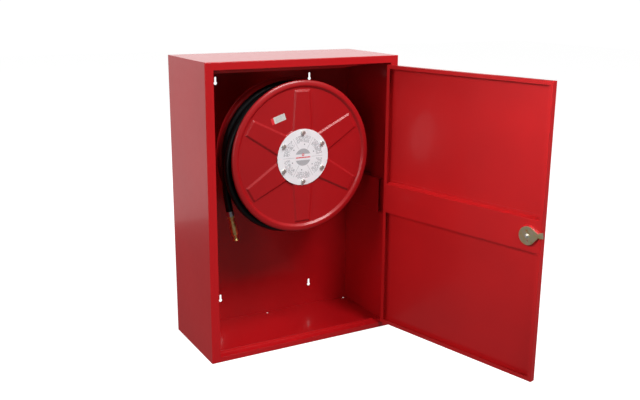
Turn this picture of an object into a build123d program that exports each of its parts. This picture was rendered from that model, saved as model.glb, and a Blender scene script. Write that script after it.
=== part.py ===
from build123d import *
from math import atan2, cos, degrees, pi, radians, sin, tan
import os

os.makedirs("parts", exist_ok=True)

# Wall cabinet with a fixed fire hose reel. Millimetres; +Z up, the door side faces -Y,
# the origin is the middle of the base.

# --- cabinet shell ---
cabinet_width = 750
cabinet_height = 1050
cabinet_depth = 350
shell_sheet = 1.5
flange_side = 30
flange_top = 26
flange_bottom = 20
side_return = 20
sill_return = 35
top_stop = 14
bottom_stop = 8
stop_taper = 190
shell_bend = 2.5
drain_radius = 4
drain_inset = 14
keyhole_spacing = 395
keyhole_from_top = 109
keyhole_from_base = 87
keyhole_head_radius = 6.5
keyhole_slot_width = 8
keyhole_rise = 19.5
pipe_hole_radius = 32

# --- stiffening channel on the right wall ---
channel_projection = 24
channel_height = 133
channel_centre_z = 511
channel_front = 70
channel_length = 225

# --- door ---
door_open = 103
door_sheet = 1.2
door_thickness = 21
door_lip = 13.5
door_side_gap = 3
door_top_gap = 6
door_bottom_gap = 8
door_bend = 1.8
stiffener_face = 108
stiffener_slope = 6.5
stiffener_foot = 8.5
stiffener_free_inset = 4

# --- door hinges ---
hinge_length = 80
hinge_from_end = 95
hinge_leaf = 1.2
hinge_leaf_depth = 18
knuckle_radius = 3.5
hinge_pin_radius = 2
hinge_clearance = 0.3
pin_clearance = 0.06

# --- lock ---
lock_from_edge = 46
cam_turn = 10
cam_radius = 30.5
cam_reach = 56.5
cam_tongue = 19
cam_sheet = 3
cam_crank = 5
cam_slot = 16
cam_neck = 13
screw_washer_radius = 7.5
screw_washer = 1.2
screw_head_radius = 6
screw_head = 4
boss_radius = 34
boss_height = 8
boss_reach = 41
boss_nose = 12
barrel_radius = 11
barrel_nut_wall = 4
barrel_nut_height = 5
bezel_radius = 35
bezel_height = 3
knob_radius = 24
knob_height = 9
grip_height = 14
grip_width = 9
lock_shaft_radius = 5
shaft_square = 7

# --- reel ---
reel_from_top = 348
reel_setback = 38.5
disc_cover = 8.7
disc_sheet = 1.5
disc_rise = 5
rim_band = 26
rim_crown = 7
rim_bead = 2.5
hub_zone_radius = 98
zone_slope = 6
rib_count = 6
rib_rim_gap = 8.5
rib_outer_width = 61
rib_inner_width = 82
rib_inner = 80
rib_draft = 49
drum_radius = 95
drum_sheet = 2
tie_circle = 88
tie_radius = 4
tie_clearance = 0.3
m8_flats = 13
m8_head = 5.3
m8_nut = 6.5
washer_radius = 8
washer_sheet = 1.6
outlet_angle = -60
outlet_radius = 9.5
outlet_bore = 7
outlet_bend = 11
outlet_reach = 30
outlet_grip = 18
outlet_pocket = 3
label_radius = 101
label_sheet = 1.3
sticker_length = 56
sticker_width = 23
sticker_sheet = 0.3
sticker_x = -94
sticker_z = 141
sticker_turn = 17.5

# --- hub, spindle and bracket ---
spindle_radius = 15
bore_radius = 9.5
bush_wall = 3
hub_wall = 7
hub_flange_radius = 60
hub_flange = 4
hub_boss = 8
hub_screw_circle = 45
bush_length = 20
running_clearance = 0.05
axial_clearance = 0.3
seal_section = 1.68
seal_from_bush = 24
seal_pitch = 10
spindle_flange_radius = 30
bracket_sheet = 3
bracket_width = 120
bracket_height = 90
bracket_foot = 30
spindle_nut_wall = 8
spindle_nut_height = 12
spindle_nut_gap = 8

# --- hose ---
hose_diameter = 26
hose_lanes = 5
hose_layers = 7
layer_nesting = 2.2
lane_gap = 0.8
coil_end_play = 1.5
tail_y = -31
tail_route = [(0, 0), (0, -55), (0.8, -106), (4.5, -153), (13, -195)]
ferrule_length = 19
ferrule_radius = 13.6

# --- nozzle ---
nozzle_collar_radius = 12.5
nozzle_collar = 9
nozzle_neck_radius = 9
nozzle_neck = 7
barrel_start_radius = 10.5
barrel_end_radius = 12.8
barrel_length = 62
tip_radius = 9
tip_mouth_radius = 10.5
tip_length = 18
jet_radius = 3.2

# --- stop valve ---
valve_length = 80
valve_back_gap = 15
valve_seat = 6
valve_body_radius = 26
valve_end_flats = 41
valve_end = 15
inlet_thread_radius = 15.15
inlet_thread_length = 18
ball_radius = 17.5
valve_stem_radius = 5
valve_neck_radius = 11
valve_neck = 38
lever_length = 95
lever_width = 18
lever_sheet = 3
packing_nut_height = 8
lever_gap = 4


def export(name, part):
    part.label = name
    export_step(part, f"parts/{name}.step")


# =============================== cabinet shell ===============================
half_width = cabinet_width / 2
front_y = -cabinet_depth / 2
back_y = cabinet_depth / 2
opening_x = half_width - flange_side
opening_low = flange_bottom
opening_high = cabinet_height - flange_top
reel_z = cabinet_height - reel_from_top
lane_pitch = hose_diameter + lane_gap
layer_pitch = hose_diameter - layer_nesting
first_turn = drum_radius + hose_diameter / 2
tail_radius = first_turn + (hose_layers - 1) * layer_pitch
coil_radius = tail_radius + hose_diameter / 2
coil_width = hose_lanes * lane_pitch
disc_radius = coil_radius + disc_cover
reel_inner_width = coil_width + 2 * coil_end_play
reel_middle_y = front_y + reel_setback + reel_inner_width / 2
hub_bore = spindle_radius + bush_wall
hub_radius = hub_bore + hub_wall
valve_rear_y = back_y - valve_back_gap
valve_front_y = valve_rear_y - valve_length
bracket_web_y = valve_front_y - spindle_nut_gap - spindle_nut_height - bracket_sheet
lever_drop = valve_neck + packing_nut_height + lever_gap


def facing_front(y):
    """A plane across the cabinet at y, drawn in X and Z, that faces the front."""
    return Plane(origin=(0, y, 0), x_dir=(1, 0, 0), z_dir=(0, -1, 0))


def side_panel(side):
    """Wall, mitred front flange and inward return of the side at side = -1 or 1."""
    outer = side * half_width
    edge = side * opening_x
    with BuildPart() as panel:
        with BuildSketch(Plane.XY):
            with BuildLine():
                Polyline(
                    (outer, back_y),
                    (outer, front_y),
                    (outer - side * shell_sheet, front_y),
                    (outer - side * shell_sheet, back_y),
                    close=True,
                )
            make_face()
        extrude(amount=cabinet_height)
        with BuildSketch(facing_front(front_y + shell_sheet)):
            with BuildLine():
                Polyline(
                    (outer, 0),
                    (edge, opening_low),
                    (edge, opening_high),
                    (outer, cabinet_height),
                    close=True,
                )
            make_face()
        extrude(amount=shell_sheet)
        with BuildSketch(facing_front(front_y + side_return)):
            with Locations((edge + side * shell_sheet / 2, (opening_low + opening_high) / 2)):
                Rectangle(shell_sheet, opening_high - opening_low)
        extrude(amount=side_return)
        corner = panel.edges().filter_by(Axis.Z)
        corner = corner.filter_by_position(Axis.X, outer - 0.01, outer + 0.01)
        corner = corner.filter_by_position(Axis.Y, front_y - 0.01, front_y + 0.01)
        fillet(corner, radius=shell_bend)
    return panel.part


def sill_panel(outer_z, edge_z, stop_height, taper):
    """Top or base: wall, mitred flange, deep return and the door stop behind it."""
    up = 1 if outer_z > edge_z else -1
    wall_x = half_width - shell_sheet
    stop_y = front_y + sill_return
    with BuildPart() as panel:
        with BuildSketch(Plane.XY.offset(outer_z - max(up, 0) * shell_sheet)):
            with Locations((0, -shell_sheet / 2)):
                Rectangle(2 * wall_x, cabinet_depth - shell_sheet)
            if up < 0:
                with Locations(
                    (0, back_y - drain_inset),
                    (-wall_x + drain_inset, back_y - drain_inset),
                    (wall_x - drain_inset, back_y - drain_inset),
                ):
                    Circle(drain_radius, mode=Mode.SUBTRACT)
        extrude(amount=shell_sheet)
        with BuildSketch(facing_front(front_y + shell_sheet)):
            with BuildLine():
                Polyline(
                    (-half_width, outer_z),
                    (half_width, outer_z),
                    (opening_x, edge_z),
                    (-opening_x, edge_z),
                    close=True,
                )
            make_face()
        extrude(amount=shell_sheet)
        with BuildSketch(Plane.XY.offset(min(edge_z, edge_z + up * shell_sheet))):
            with Locations((0, front_y + sill_return / 2)):
                Rectangle(2 * opening_x, sill_return)
        extrude(amount=shell_sheet)
        with BuildSketch(facing_front(stop_y)):
            with BuildLine():
                Polyline(
                    (-opening_x, edge_z + up * shell_sheet),
                    (-opening_x, edge_z - up * stop_height),
                    (opening_x - taper, edge_z - up * stop_height),
                    (opening_x - 2 * door_lip, edge_z),
                    (opening_x - 2 * door_lip, edge_z + up * shell_sheet),
                    close=True,
                )
            make_face()
        extrude(amount=shell_sheet)
        corner = panel.edges().filter_by(Axis.X)
        corner = corner.filter_by_position(Axis.Z, outer_z - 0.01, outer_z + 0.01)
        corner = corner.filter_by_position(Axis.Y, front_y - 0.01, front_y + 0.01)
        fillet(corner, radius=shell_bend)
        # the walls of the side panels pass the ends of this one
        with Locations((-half_width + shell_sheet / 2, 0, outer_z), (half_width - shell_sheet / 2, 0, outer_z)):
            Box(shell_sheet, cabinet_depth - 2 * shell_sheet, 4 * shell_sheet, mode=Mode.SUBTRACT)
    return panel.part


export("left_side_panel", side_panel(-1))
export("right_side_panel", side_panel(1))
export("top_panel", sill_panel(cabinet_height, opening_high, top_stop, stop_taper))
export("base_panel", sill_panel(0, opening_low, bottom_stop, 2.5 * door_lip))

keyhole_z = [keyhole_from_base, cabinet_height - keyhole_from_top]
with BuildPart() as back_panel:
    with BuildSketch(facing_front(back_y)):
        with Locations((0, cabinet_height / 2)):
            Rectangle(cabinet_width - 2 * shell_sheet, cabinet_height)
        with Locations((0, reel_z)):
            Circle(pipe_hole_radius, mode=Mode.SUBTRACT)
        for z in keyhole_z:
            for x in (-keyhole_spacing / 2, keyhole_spacing / 2):
                with Locations((x, z)):
                    Circle(keyhole_head_radius, mode=Mode.SUBTRACT)
                with Locations((x, z + keyhole_rise / 2)):
                    SlotCenterToCenter(keyhole_rise, keyhole_slot_width, rotation=90, mode=Mode.SUBTRACT)
    extrude(amount=shell_sheet)
export("back_panel", back_panel.part)

channel_x = half_width - shell_sheet - channel_projection
with BuildPart() as wall_channel:
    with BuildSketch(facing_front(front_y + channel_front)):
        with Locations((channel_x + channel_projection / 2, channel_centre_z)):
            Rectangle(channel_projection, channel_height)
        with Locations((channel_x + (channel_projection + shell_sheet) / 2, channel_centre_z)):
            Rectangle(
                channel_projection - shell_sheet,
                channel_height - 2 * shell_sheet,
                mode=Mode.SUBTRACT,
            )
    extrude(amount=-channel_length)
    fold = wall_channel.edges().filter_by(Axis.Y)
    fold = fold.filter_by_position(Axis.X, channel_x - 0.01, channel_x + 0.01)
    fillet(fold, radius=shell_bend)
export("wall_channel", wall_channel.part)

# =================================== door ====================================
# The door is drawn in planes that turn with it: across it (u from the hinge axis to the
# free edge), up it, and in from its outer face when it is shut.
door_width = 2 * opening_x - 2 * door_side_gap
door_low = opening_low + door_bottom_gap
door_high = opening_high - door_top_gap
door_height = door_high - door_low
door_middle_z = (door_low + door_high) / 2
hinge_x = opening_x - door_side_gap / 2
hinge_y = front_y - knuckle_radius - hinge_clearance
door_across = Vector(-cos(radians(door_open)), -sin(radians(door_open)), 0)
door_inward = Vector(-sin(radians(door_open)), cos(radians(door_open)), 0)
door_face = front_y - hinge_y
edge_near = door_side_gap / 2
edge_far = edge_near + door_width
door_middle_u = (edge_near + edge_far) / 2


def door_plane(depth):
    """Parallel to the door, depth in from its outer face, facing inward; x across, y up."""
    origin = Vector(hinge_x, hinge_y, 0) + door_inward * (door_face + depth)
    return Plane(origin=origin, x_dir=door_across, z_dir=door_inward)


# --- lock position ---
lock_u = edge_far - lock_from_edge
lock_z = cabinet_height / 2
stiffener_depth = door_thickness + door_sheet
boss_depth = stiffener_depth + boss_height
cam_depth = boss_depth + axial_clearance
lock_point = Vector(hinge_x, hinge_y, lock_z) + door_across * lock_u + door_inward * door_face
tongue_along = door_across * cos(radians(cam_turn)) + Vector(0, 0, sin(radians(cam_turn)))


def lock_plane(depth):
    """Like door_plane, but centred on the lock and turned with its cam."""
    return Plane(origin=lock_point + door_inward * depth, x_dir=tongue_along, z_dir=door_inward)


with BuildPart() as door_panel:
    with BuildSketch(door_plane(0)):
        with Locations((door_middle_u, door_middle_z)):
            Rectangle(door_width, door_height)
    extrude(amount=door_thickness)
    outer_face = door_panel.faces().sort_by(Axis((0, 0, 0), door_inward))[0]
    fillet(outer_face.edges(), radius=door_bend)
    with BuildSketch(door_plane(door_sheet)):
        with Locations((door_middle_u, door_middle_z)):
            Rectangle(door_width - 2 * door_sheet, door_height - 2 * door_sheet)
    extrude(amount=door_thickness - 2 * door_sheet, mode=Mode.SUBTRACT)
    with BuildSketch(door_plane(door_thickness - door_sheet)):
        with Locations((door_middle_u, door_middle_z)):
            Rectangle(door_width - 2 * door_lip, door_height - 2 * door_lip)
    extrude(amount=door_sheet, mode=Mode.SUBTRACT)
    with BuildSketch(lock_plane(0)):
        Circle(barrel_radius)
    extrude(amount=door_sheet, mode=Mode.SUBTRACT)
export("door_panel", door_panel.part)

stiffener_start = edge_near + door_lip
stiffener_end = edge_far - door_lip
with BuildPart() as door_stiffener:
    section = Plane(
        origin=Vector(hinge_x, hinge_y, lock_z) + door_across * stiffener_start + door_inward * door_face,
        x_dir=door_inward,
        z_dir=door_across,
    )
    half_face = stiffener_face / 2
    half_base = half_face + stiffener_slope
    half_foot = half_base + stiffener_foot
    foot_top = 2 * door_sheet
    with BuildSketch(section):
        with BuildLine():
            Polyline(
                (door_sheet, half_foot),
                (foot_top, half_foot),
                (foot_top, half_base),
                (stiffener_depth, half_face),
                (stiffener_depth, -half_face),
                (foot_top, -half_base),
                (foot_top, -half_foot),
                (door_sheet, -half_foot),
                (door_sheet, -half_base + door_sheet),
                (door_thickness, -half_face + door_sheet),
                (door_thickness, half_face - door_sheet),
                (door_sheet, half_base - door_sheet),
                close=True,
            )
        make_face()
    extrude(amount=stiffener_end - stiffener_start)
    tab_end = edge_far - stiffener_free_inset
    with BuildSketch(door_plane(door_thickness)):
        with Locations(((stiffener_end + tab_end) / 2, lock_z)):
            Rectangle(tab_end - stiffener_end, stiffener_face)
    extrude(amount=door_sheet)
    with BuildSketch(lock_plane(door_thickness)):
        Circle(barrel_radius)
    extrude(amount=door_sheet, mode=Mode.SUBTRACT)
export("door_stiffener", door_stiffener.part)

# --- hinges ---
hinge_z = [door_low + hinge_from_end, door_high - hinge_from_end]
knuckle_length = hinge_length / 3
knuckle_steps = [-knuckle_length, 0, knuckle_length]


def hinge_leaves(plane_at, leaf_start, steps, bore):
    """Leaves lying on the plane's Y side, with a knuckle round the hinge axis at each step."""
    with BuildPart() as leaves:
        for z in hinge_z:
            for step in steps:
                low = z + step - knuckle_length / 2 + hinge_clearance / 2
                with BuildSketch(plane_at.offset(low)):
                    Circle(knuckle_radius)
                    with Locations((leaf_start + hinge_leaf / 2, knuckle_radius)):
                        Rectangle(hinge_leaf, 2 * knuckle_radius)
                    Circle(bore, mode=Mode.SUBTRACT)
                extrude(amount=knuckle_length - hinge_clearance)
            with BuildSketch(plane_at.offset(z - hinge_length / 2)):
                with Locations((leaf_start + hinge_leaf / 2, door_face + hinge_leaf_depth / 2)):
                    Rectangle(hinge_leaf, hinge_leaf_depth)
            extrude(amount=hinge_length)
    return leaves.part


shut_plane = Plane(origin=(hinge_x, hinge_y, 0), x_dir=(1, 0, 0), z_dir=(0, 0, 1))
open_plane = Plane(origin=(hinge_x, hinge_y, 0), x_dir=-door_across, z_dir=(0, 0, 1))
hinge_bore = hinge_pin_radius + pin_clearance
frame_leaf = edge_near - hinge_leaf
export("hinge_frame_leaves", hinge_leaves(shut_plane, frame_leaf, knuckle_steps[::2], hinge_pin_radius))
export("hinge_door_leaves", hinge_leaves(open_plane, -edge_near, knuckle_steps[1:2], hinge_bore))

with BuildPart() as hinge_pins:
    for z in hinge_z:
        with BuildSketch(shut_plane.offset(z - hinge_length / 2)):
            Circle(hinge_pin_radius)
        extrude(amount=hinge_length)
export("hinge_pins", hinge_pins.part)

# --- lock fixed to the door ---
with BuildPart() as lock_boss:
    with BuildSketch(lock_plane(stiffener_depth)):
        Circle(boss_radius)
        with Locations((boss_reach - boss_nose, 0)):
            Circle(boss_nose)
        make_hull()
    extrude(amount=boss_height)
    rim = lock_boss.faces().sort_by(Axis((0, 0, 0), door_inward))[-1].edges()
    fillet(rim, radius=boss_height / 2)
    with BuildSketch(lock_plane(stiffener_depth)):
        Circle(barrel_radius)
    extrude(amount=boss_height, mode=Mode.SUBTRACT)
export("lock_boss", lock_boss.part)

with BuildPart() as lock_barrel:
    with BuildSketch(lock_plane(-bezel_height)):
        Circle(barrel_radius)
        Circle(lock_shaft_radius + running_clearance, mode=Mode.SUBTRACT)
    extrude(amount=bezel_height + boss_depth)
export("lock_barrel", lock_barrel.part)

with BuildPart() as lock_bezel:
    with BuildSketch(lock_plane(-bezel_height)):
        Circle(bezel_radius)
    extrude(amount=bezel_height)
    rim = lock_bezel.faces().sort_by(Axis((0, 0, 0), door_inward))[0].edges()
    chamfer(rim, length=bezel_height / 2)
    with BuildSketch(lock_plane(-bezel_height)):
        Circle(barrel_radius)
    extrude(amount=bezel_height, mode=Mode.SUBTRACT)
export("lock_bezel", lock_bezel.part)

with BuildPart() as lock_barrel_nut:
    with BuildSketch(lock_plane(door_sheet)):
        RegularPolygon(radius=barrel_radius + barrel_nut_wall, side_count=6, major_radius=False)
        Circle(barrel_radius, mode=Mode.SUBTRACT)
    extrude(amount=barrel_nut_height)
export("lock_barrel_nut", lock_barrel_nut.part)

# --- lock parts that turn ---
knob_back = bezel_height + axial_clearance
with BuildPart() as lock_knob:
    with BuildSketch(lock_plane(-knob_back - knob_height)):
        Circle(knob_radius)
    extrude(amount=knob_height)
    rim = lock_knob.faces().sort_by(Axis((0, 0, 0), door_inward))[0].edges()
    fillet(rim, radius=knob_height / 3)
    with BuildSketch(lock_plane(-knob_back - knob_height)):
        SlotOverall(2 * knob_radius - 4, grip_width)
    extrude(amount=-grip_height)
    rim = lock_knob.faces().sort_by(Axis((0, 0, 0), door_inward))[0].edges()
    fillet(rim, radius=grip_width / 4)
export("lock_knob", lock_knob.part)

with BuildPart() as lock_shaft:
    with BuildSketch(lock_plane(-knob_back)):
        Circle(lock_shaft_radius)
    extrude(amount=knob_back + boss_depth)
    with BuildSketch(lock_plane(boss_depth)):
        Rectangle(shaft_square, shaft_square)
    extrude(amount=axial_clearance + cam_sheet)
export("lock_shaft", lock_shaft.part)

crank_start = 0.72 * cam_reach
crank_end = 0.8 * cam_reach
with BuildPart() as lock_cam:
    with BuildSketch(lock_plane(cam_depth)):
        Circle(cam_radius)
        Polygon(
            (0.45 * cam_radius, -0.88 * cam_radius),
            (crank_start, -cam_neck / 2),
            (crank_start, cam_neck / 2),
            (0.45 * cam_radius, 0.88 * cam_radius),
            align=None,
        )
        Rectangle(shaft_square, shaft_square, mode=Mode.SUBTRACT)
        with Locations((0, cam_slot), (0, -cam_slot)):
            SlotOverall(7, 3, rotation=90, mode=Mode.SUBTRACT)
    extrude(amount=cam_sheet)
    crank_plane = Plane(
        origin=lock_point + door_inward * cam_depth,
        x_dir=tongue_along,
        z_dir=tongue_along.cross(door_inward),
    )
    with BuildSketch(crank_plane):
        Polygon(
            (crank_start - cam_sheet, 0),
            (crank_start, 0),
            (crank_end, -cam_crank),
            (cam_reach, -cam_crank),
            (cam_reach, cam_sheet - cam_crank),
            (crank_end + 1, cam_sheet - cam_crank),
            (crank_start + 1, cam_sheet),
            (crank_start - cam_sheet, cam_sheet),
            align=None,
        )
    extrude(amount=cam_tongue / 2, both=True)
    with BuildSketch(lock_plane(cam_depth - cam_crank)):
        for side in (-1, 1):
            with Locations((crank_start, side * cam_tongue / 2)):
                Rectangle(2 * cam_sheet, cam_tongue - cam_neck)
    extrude(amount=2 * cam_crank, mode=Mode.SUBTRACT)
export("lock_cam", lock_cam.part)

with BuildPart() as cam_washer:
    with BuildSketch(lock_plane(cam_depth + cam_sheet)):
        Circle(screw_washer_radius)
    extrude(amount=screw_washer)
export("cam_washer", cam_washer.part)

with BuildPart() as cam_screw:
    with BuildSketch(lock_plane(cam_depth + cam_sheet + screw_washer)):
        Circle(screw_head_radius)
    extrude(amount=screw_head)
    rim = cam_screw.faces().sort_by(Axis((0, 0, 0), door_inward))[-1].edges()
    fillet(rim, radius=0.6 * screw_head)
export("cam_screw", cam_screw.part)

# =================================== reel ====================================
reel_axis = Axis((0, 0, reel_z), (0, 1, 0))
hub_zone_face = disc_rise + disc_sheet
zone_draft = degrees(atan2(zone_slope, disc_rise))


def field_y(side):
    """Inner face of the flat field of the disc at side = -1 (front) or 1 (rear)."""
    return reel_middle_y + side * reel_inner_width / 2


def disc_plane(side, height):
    """Across the reel, height out from a disc's inner field face, facing outward."""
    return Plane(
        origin=(0, field_y(side) + side * height, reel_z),
        x_dir=(-side, 0, 0),
        z_dir=(0, side, 0),
    )


def reel_plane(y):
    """Across the reel axis at y, facing the front."""
    return Plane(origin=(0, y, reel_z), x_dir=(1, 0, 0), z_dir=(0, -1, 0))


def rib_outline():
    """The ribs' outlines, for a sketch on a disc_plane."""
    with PolarLocations(0, rib_count, start_angle=90):
        Polygon(
            (rib_inner, -rib_inner_width / 2),
            (disc_radius - rim_band - rib_rim_gap, -rib_outer_width / 2),
            (disc_radius - rim_band - rib_rim_gap, rib_outer_width / 2),
            (rib_inner, rib_inner_width / 2),
            align=None,
        )


def pressed_disc(side, hole):
    """Sheet disc with a raised hub zone, raised radial ribs and a crowned, beaded rim."""
    rim_in = disc_radius - rim_band
    rim_out = disc_radius - rim_bead / 2
    rim_mid = (rim_in + rim_out) / 2
    across = Plane(
        origin=(0, field_y(side), reel_z),
        x_dir=(0, side, 0),
        z_dir=(side, 0, 0),
    )
    with BuildPart() as disc:
        with BuildSketch(across):
            with BuildLine():
                Polyline(
                    (0, rim_in),
                    (0, hub_zone_radius + zone_slope),
                    (disc_rise, hub_zone_radius),
                    (disc_rise, hole),
                    (hub_zone_face, hole),
                    (hub_zone_face, hub_zone_radius + disc_sheet / 2),
                    (disc_sheet, hub_zone_radius + zone_slope + disc_sheet / 2),
                    (disc_sheet, rim_in - disc_sheet / 2),
                )
                ThreePointArc(
                    (disc_sheet, rim_in - disc_sheet / 2),
                    (rim_crown + disc_sheet, rim_mid),
                    (0, rim_out),
                )
                Line((0, rim_out), (0, rim_out - disc_sheet))
                ThreePointArc((0, rim_out - disc_sheet), (rim_crown, rim_mid), (0, rim_in))
            make_face()
            with Locations((-rim_bead / 2, disc_radius - rim_bead)):
                Circle(rim_bead)
        revolve(axis=reel_axis)
        with BuildSketch(disc_plane(side, disc_sheet)):
            rib_outline()
        extrude(amount=disc_rise, taper=rib_draft)
        with BuildSketch(disc_plane(side, 0)):
            rib_outline()
        extrude(amount=disc_rise, taper=rib_draft, mode=Mode.SUBTRACT)
        with BuildSketch(disc_plane(side, 0)):
            Circle(hub_zone_radius + zone_slope)
        extrude(amount=disc_rise, taper=zone_draft, mode=Mode.SUBTRACT)
        with BuildSketch(disc_plane(side, disc_rise)):
            with PolarLocations(tie_circle, rib_count, start_angle=90):
                Circle(tie_radius + tie_clearance)
        extrude(amount=disc_sheet, mode=Mode.SUBTRACT)
        if hole:
            with BuildSketch(disc_plane(side, disc_rise)):
                with PolarLocations(hub_screw_circle, 4, start_angle=45):
                    Circle(screw_radius + tie_clearance)
            extrude(amount=disc_sheet, mode=Mode.SUBTRACT)
    return disc.part


screw_radius = 3
export("front_disc", pressed_disc(-1, 0))
export("rear_disc", pressed_disc(1, hub_radius))

lane_start = reel_middle_y - coil_width / 2
first_lane = lane_start + lane_pitch / 2
# across the reel at the first lane: x along the hose's start, y in towards the reel's axis
outlet_plane = Plane(
    origin=(0, first_lane, reel_z),
    x_dir=(cos(radians(outlet_angle + 90)), 0, sin(radians(outlet_angle + 90))),
    z_dir=(0, -1, 0),
)
outlet_section = Plane(
    origin=outlet_plane.from_local_coords((0, -drum_radius, 0)),
    x_dir=(0, 1, 0),
    z_dir=outlet_plane.y_dir,
)

with BuildPart() as drum:
    with BuildSketch(disc_plane(1, disc_rise)):
        Circle(drum_radius)
        Circle(drum_radius - drum_sheet, mode=Mode.SUBTRACT)
    extrude(amount=-(reel_inner_width + 2 * disc_rise))
    with BuildSketch(outlet_section):
        Circle(outlet_radius + tie_clearance)
    extrude(amount=drum_radius / 2, mode=Mode.SUBTRACT)
export("drum", drum.part)

with BuildPart() as label_plate:
    with BuildSketch(disc_plane(-1, hub_zone_face)):
        Circle(label_radius)
        with PolarLocations(tie_circle, rib_count, start_angle=90):
            Circle(tie_radius + tie_clearance, mode=Mode.SUBTRACT)
    extrude(amount=label_sheet)
export("label_plate", label_plate.part)

with BuildPart() as disc_sticker:
    with BuildSketch(disc_plane(-1, disc_sheet)):
        with Locations((sticker_x, sticker_z)):
            Rectangle(sticker_length, sticker_width, rotation=sticker_turn)
    extrude(amount=sticker_sheet)
export("disc_sticker", disc_sticker.part)

label_face = hub_zone_face + label_sheet
with BuildPart() as tie_washers:
    with BuildSketch(disc_plane(-1, label_face)):
        with PolarLocations(tie_circle, rib_count, start_angle=90):
            Circle(washer_radius)
            Circle(tie_radius, mode=Mode.SUBTRACT)
    extrude(amount=washer_sheet)
export("tie_washers", tie_washers.part)

with BuildPart() as tie_bolts:
    head_seat = label_face + washer_sheet
    tie_length = head_seat + reel_inner_width + hub_zone_face + 1.4 * m8_nut
    with BuildSketch(disc_plane(-1, head_seat)):
        with PolarLocations(tie_circle, rib_count, start_angle=90):
            RegularPolygon(radius=m8_flats / 2, side_count=6, major_radius=False)
    extrude(amount=m8_head)
    with BuildSketch(disc_plane(-1, head_seat)):
        with PolarLocations(tie_circle, rib_count, start_angle=90):
            Circle(tie_radius)
    extrude(amount=-tie_length)
export("tie_bolts", tie_bolts.part)

with BuildPart() as tie_nuts:
    with BuildSketch(disc_plane(1, hub_zone_face)):
        with PolarLocations(tie_circle, rib_count, start_angle=90):
            RegularPolygon(radius=m8_flats / 2, side_count=6, major_radius=False)
            Circle(tie_radius, mode=Mode.SUBTRACT)
    extrude(amount=m8_nut)
export("tie_nuts", tie_nuts.part)

# --- hub that turns on the spindle ---
hub_rear_y = field_y(1) + hub_zone_face + hub_boss
hub_front_y = field_y(-1) - 1
flange_y = field_y(1) + disc_rise
chamber_front_y = hub_front_y + 5
with BuildPart() as hub:
    with BuildSketch(reel_plane(hub_rear_y)):
        Circle(hub_radius)
    extrude(amount=hub_rear_y - hub_front_y)
    with BuildSketch(reel_plane(flange_y)):
        Circle(hub_flange_radius)
    extrude(amount=hub_flange)
    with BuildSketch(reel_plane(hub_rear_y)):
        Circle(hub_bore)
    extrude(amount=hub_rear_y - chamber_front_y, mode=Mode.SUBTRACT)
    with BuildSketch(outlet_section):
        Circle(outlet_bore)
    extrude(amount=drum_radius, mode=Mode.SUBTRACT)
export("hub", hub.part)

with BuildPart() as hub_screws:
    with BuildSketch(disc_plane(1, hub_zone_face)):
        with PolarLocations(hub_screw_circle, 4, start_angle=45):
            RegularPolygon(radius=5, side_count=6, major_radius=False)
    extrude(amount=4)
    with BuildSketch(disc_plane(1, hub_zone_face)):
        with PolarLocations(hub_screw_circle, 4, start_angle=45):
            Circle(screw_radius)
    extrude(amount=-disc_sheet)
export("hub_screws", hub_screws.part)

spindle_front_y = first_lane + 17
ring_width = 2.5
front_bush_y = spindle_front_y + 2 + ring_width + axial_clearance
bush_radius = spindle_radius + running_clearance
with BuildPart() as hub_bushes:
    for y in (front_bush_y + bush_length, hub_rear_y):
        with BuildSketch(reel_plane(y)):
            Circle(hub_bore)
            Circle(bush_radius, mode=Mode.SUBTRACT)
        extrude(amount=bush_length)
export("hub_bushes", hub_bushes.part)

with BuildPart() as outlet_pipe:
    with BuildSketch(outlet_section):
        Circle(outlet_radius)
    extrude(amount=drum_radius - hub_radius / 2)
    with BuildSketch(reel_plane(first_lane + 2 * hub_radius)):
        Circle(hub_radius)
    extrude(amount=4 * hub_radius, mode=Mode.SUBTRACT)
    with BuildSketch(outlet_section):
        Circle(outlet_bore)
    extrude(amount=drum_radius, mode=Mode.SUBTRACT)
export("outlet_pipe", outlet_pipe.part)

ferrule_plane = Plane(
    origin=outlet_plane.from_local_coords((outlet_reach - outlet_grip, -first_turn, 0)),
    x_dir=(0, 1, 0),
    z_dir=outlet_plane.x_dir,
)
with BuildPart() as drum_outlet:
    with BuildLine(outlet_plane) as elbow_path:
        FilletPolyline((0, -drum_radius), (0, -first_turn), (outlet_reach, -first_turn), radius=outlet_bend)
    with BuildSketch(Plane(origin=elbow_path.line @ 0, z_dir=elbow_path.line % 0)):
        Circle(outlet_radius)
        Circle(outlet_bore, mode=Mode.SUBTRACT)
    sweep(path=elbow_path.line)
export("drum_outlet", drum_outlet.part)

with BuildPart() as outlet_ferrule:
    with BuildSketch(ferrule_plane):
        Circle(hose_diameter / 2)
        Circle(outlet_radius, mode=Mode.SUBTRACT)
    extrude(amount=outlet_grip)
export("outlet_ferrule", outlet_ferrule.part)

# --- hose wound on the drum, and the end that hangs down ---
with BuildPart() as hose_coil:
    with BuildSketch(reel_plane(lane_start + coil_width)):
        Circle(coil_radius)
        Circle(drum_radius + axial_clearance, mode=Mode.SUBTRACT)
    extrude(amount=coil_width)
    with BuildSketch(outlet_plane.offset(hose_diameter)):
        with Locations(((outlet_reach - outlet_radius - outlet_pocket) / 2, -first_turn)):
            Rectangle(outlet_reach + outlet_radius + outlet_pocket, hose_diameter + 2 * outlet_pocket)
    extrude(amount=-1.5 * hose_diameter - outlet_pocket, mode=Mode.SUBTRACT)
export("hose_coil", hose_coil.part)

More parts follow.
